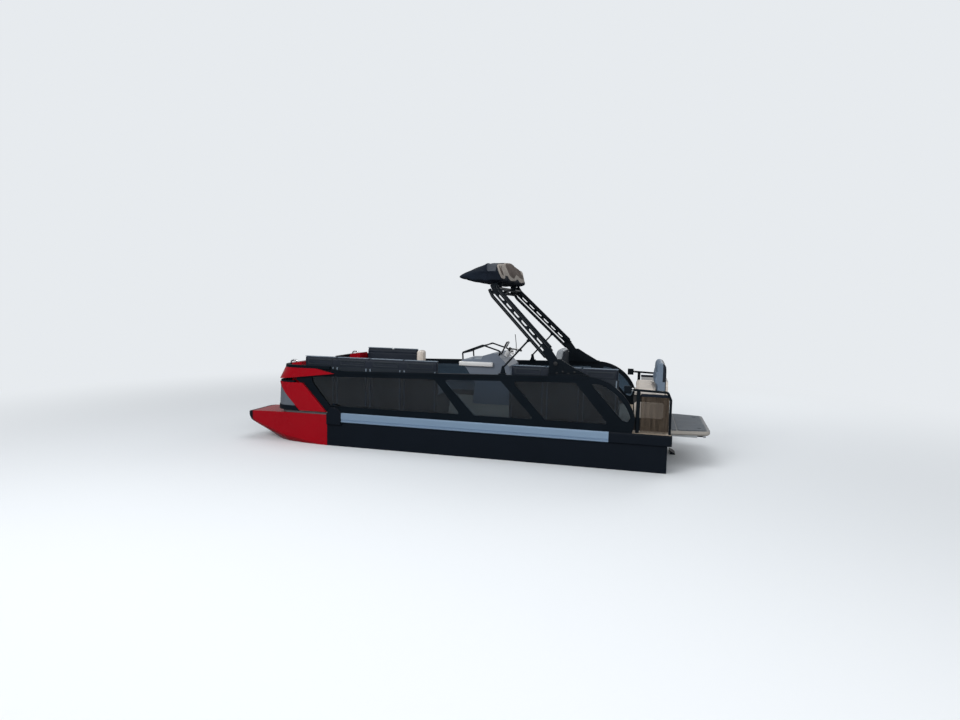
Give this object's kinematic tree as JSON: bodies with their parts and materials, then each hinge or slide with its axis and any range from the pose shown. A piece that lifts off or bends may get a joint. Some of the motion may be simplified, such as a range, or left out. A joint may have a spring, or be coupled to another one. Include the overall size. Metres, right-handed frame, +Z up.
{
  "type": "pontoon boat",
  "caption": "Three-hulled pontoon deck boat with glazed side fences, benches, helm, folding forward-raked tower, rolled canopy, jet drive and swim platform.",
  "frame": {"origin": "floor plane under the keels, midway along the length, on the centreline", "axes": "+X to the bow, +Y to port, +Z up"},
  "size_m": [6.49, 2.49, 3.0083],
  "materials": {
    "hull_black": "satin moulded",
    "red_shell": "gloss moulded",
    "engine": "painted",
    "steel": "brushed",
    "frame_aluminium": "mill finish",
    "deck_core": "moulded",
    "deck_tile": "textured non-slip",
    "band_aluminium": "satin anodised",
    "black_metal": "satin black",
    "smoked_glass": "smoked",
    "bow_lens": "grey translucent",
    "seat_shell": "moulded",
    "upholstery": "marine vinyl",
    "cream_shell": "moulded",
    "cream_vinyl": "marine vinyl",
    "grey_vinyl": "marine vinyl",
    "console_shell": "moulded",
    "black_plastic": "moulded",
    "tower_black": "powder coat",
    "canvas": "woven acrylic canvas",
    "net": "open mesh",
    "platform_shell": "moulded",
    "mat": "embossed foam",
    "cast_metal": "cast"
  },
  "bodies": {
    "boat": {"centre_hull": "hull_black", "sponsons": "hull_black", "bow_noses": "red_shell", "nose_bumpers": "hull_black", "engine": "engine", "intake_grate": "steel", "deck_frame": "frame_aluminium", "deck": "deck_core", "deck_tiles": "deck_tile", "hatch_hinge": "steel", "side_bands": "band_aluminium", "stern_edges": "hull_black", "cleat_blocks": "hull_black", "side_fences": "black_metal", "side_glass": "smoked_glass", "bow_brows": "red_shell", "bow_side_panels": "red_shell", "bow_lenses": "bow_lens", "bow_plinths": "hull_black", "bow_caps": "black_metal", "bow_corners": "red_shell", "gate_posts": "black_metal", "bow_eye": "steel", "bench_bases": "seat_shell", "bench_cushions": "upholstery", "bench_backrests": "upholstery", "stern_lounge": "cream_shell", "lounge_cushions": "cream_vinyl", "lounge_backrest": "grey_vinyl", "helm_console": "console_shell", "helm_bezel": "black_plastic", "helm_display": "black_plastic", "windscreen_frame": "black_metal", "windscreen": "smoked_glass", "chair_pedestal": "steel", "tower_feet": "tower_black", "strut_brackets": "black_metal", "stern_rails": "black_metal", "stern_nets": "net", "swim_platform": "platform_shell", "platform_mats": "mat", "ladder_hinge": "steel", "jet_pump": "cast_metal"},
    "gate": {"bow_gate": "black_metal", "gate_panel": "smoked_glass"},
    "steering": {"handlebar": "black_plastic"},
    "chair": {"pilot_chair": "seat_shell", "chair_cushions": "grey_vinyl"},
    "tower": {"port_tower_leg": "tower_black", "starboard_tower_leg": "tower_black", "tower_crossbar": "tower_black", "canopy_boot": "canvas", "canopy_mounts": "tower_black"},
    "struts": {"tower_struts": "tower_black"},
    "hatch": {"engine_hatch": "deck_tile"},
    "ladder": {"boarding_ladder": "black_metal"},
    "nozzle": {"jet_nozzle": "cast_metal"},
    "bucket": {"reverse_bucket": "hull_black"},
    "rotor": {"impeller": "steel"}
  },
  "joints": [
    {"name": "gate_swing", "type": "hinge", "parent": "boat", "child": "gate", "pos_m": [2.689, 0.411, 1.15], "axis": [0, 0, -1], "range_deg": [0, 90]},
    {"name": "steer", "type": "hinge", "parent": "boat", "child": "steering", "pos_m": [-0.3, -0.69, 1.68], "axis": [-0.5736, 0, 0.8192], "range_deg": [-25, 25]},
    {"name": "chair_swivel", "type": "hinge", "parent": "boat", "child": "chair", "pos_m": [-0.93, -0.66, 1.2], "axis": [0, 0, 1], "range_deg": [-180, 180]},
    {"name": "tower_fold", "type": "hinge", "parent": "boat", "child": "tower", "pos_m": [-1.28, 0, 1.65], "axis": [0, 1, 0], "range_deg": [0, 30]},
    {"name": "strut_swing", "type": "hinge", "parent": "tower", "child": "struts", "pos_m": [-0.908, 0, 1.929], "axis": [0, 1, 0], "range_deg": [-96, 0]},
    {"name": "hatch_open", "type": "hinge", "parent": "boat", "child": "hatch", "pos_m": [-1.282, 0, 0.839], "axis": [0, 1, 0], "range_deg": [0, 85]},
    {"name": "ladder_fold", "type": "hinge", "parent": "boat", "child": "ladder", "pos_m": [-3.185, 0.295, 0.708], "axis": [0, 1, 0], "range_deg": [0, 95]},
    {"name": "nozzle_yaw", "type": "hinge", "parent": "boat", "child": "nozzle", "pos_m": [-2.65, 0, 0.24], "axis": [0, 0, 1], "range_deg": [-20, 20]},
    {"name": "bucket_tilt", "type": "hinge", "parent": "nozzle", "child": "bucket", "pos_m": [-2.735, 0, 0.24], "axis": [0, -1, 0], "range_deg": [0, 60]},
    {"name": "impeller_spin", "type": "hinge", "parent": "boat", "child": "rotor", "pos_m": [-2.43, 0, 0.24], "axis": [1, 0, 0], "continuous": true}
  ],
  "couplings": [
    {"joint": "nozzle_yaw", "follows": "steer", "ratio": -0.8},
    {"joint": "strut_swing", "follows": "tower_fold", "ratio": -3.2}
  ]
}
